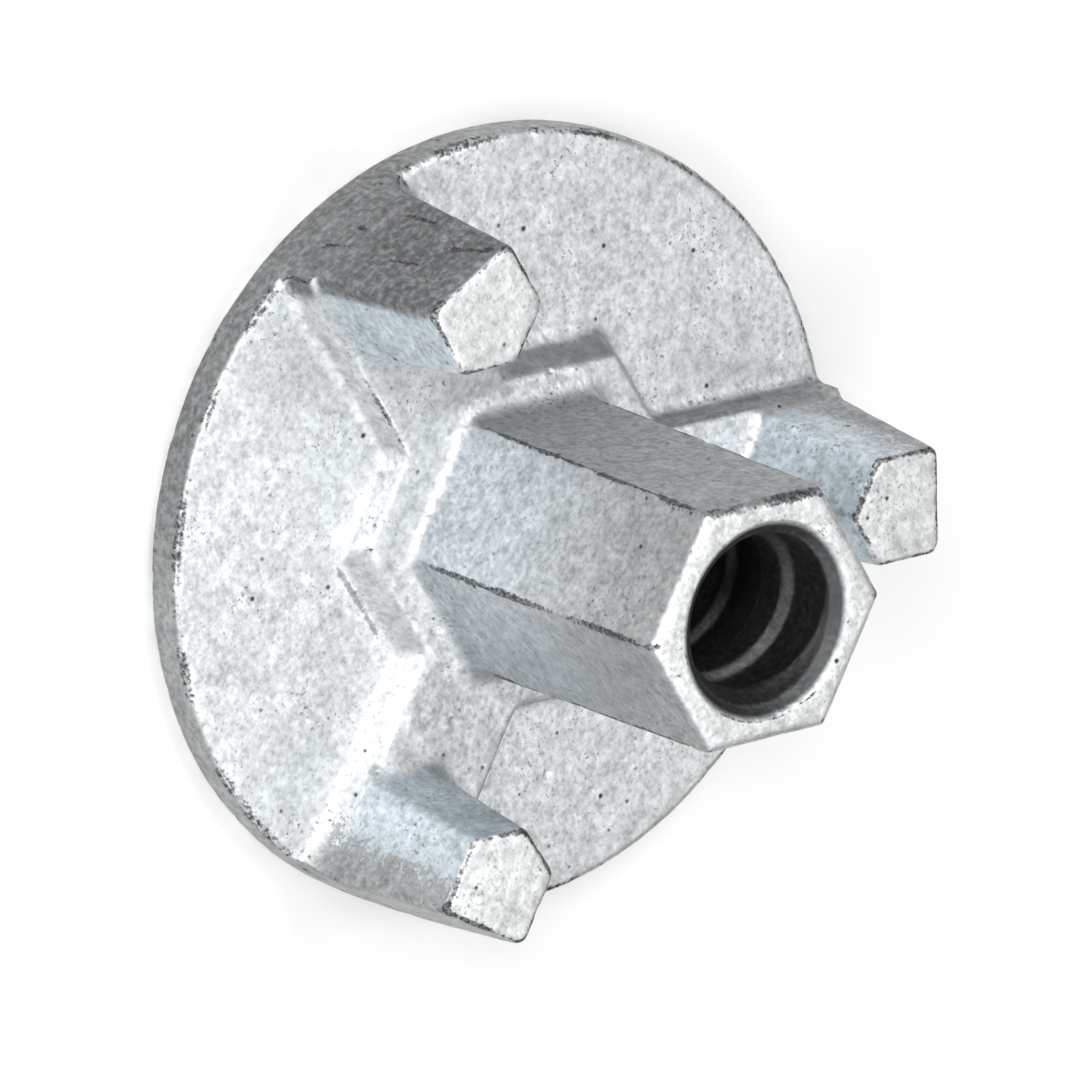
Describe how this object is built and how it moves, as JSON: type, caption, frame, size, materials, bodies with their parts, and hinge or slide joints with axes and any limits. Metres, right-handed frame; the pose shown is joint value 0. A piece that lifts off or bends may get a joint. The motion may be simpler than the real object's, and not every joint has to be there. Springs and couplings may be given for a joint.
{
  "type": "formwork wing nut",
  "caption": "Cast wing nut for formwork tie rods: round anchor plate, tall hexagonal barrel with a coarse-threaded bore, and upright lugs at the rim to turn or strike it.",
  "frame": {"origin": "centre of the flat back of the plate, on the bore axis", "axes": "+Z along the bore from the plate towards the free end of the barrel, +X towards one lug, +Y completes a right-handed frame"},
  "size_m": [0.089, 0.089, 0.052],
  "materials": {
    "zinc_cast": "zinc-plated as-cast skin, light silver grey, fine sand grain"
  },
  "bodies": {
    "root": {"wing_nut": "zinc_cast"}
  },
  "joints": []
}
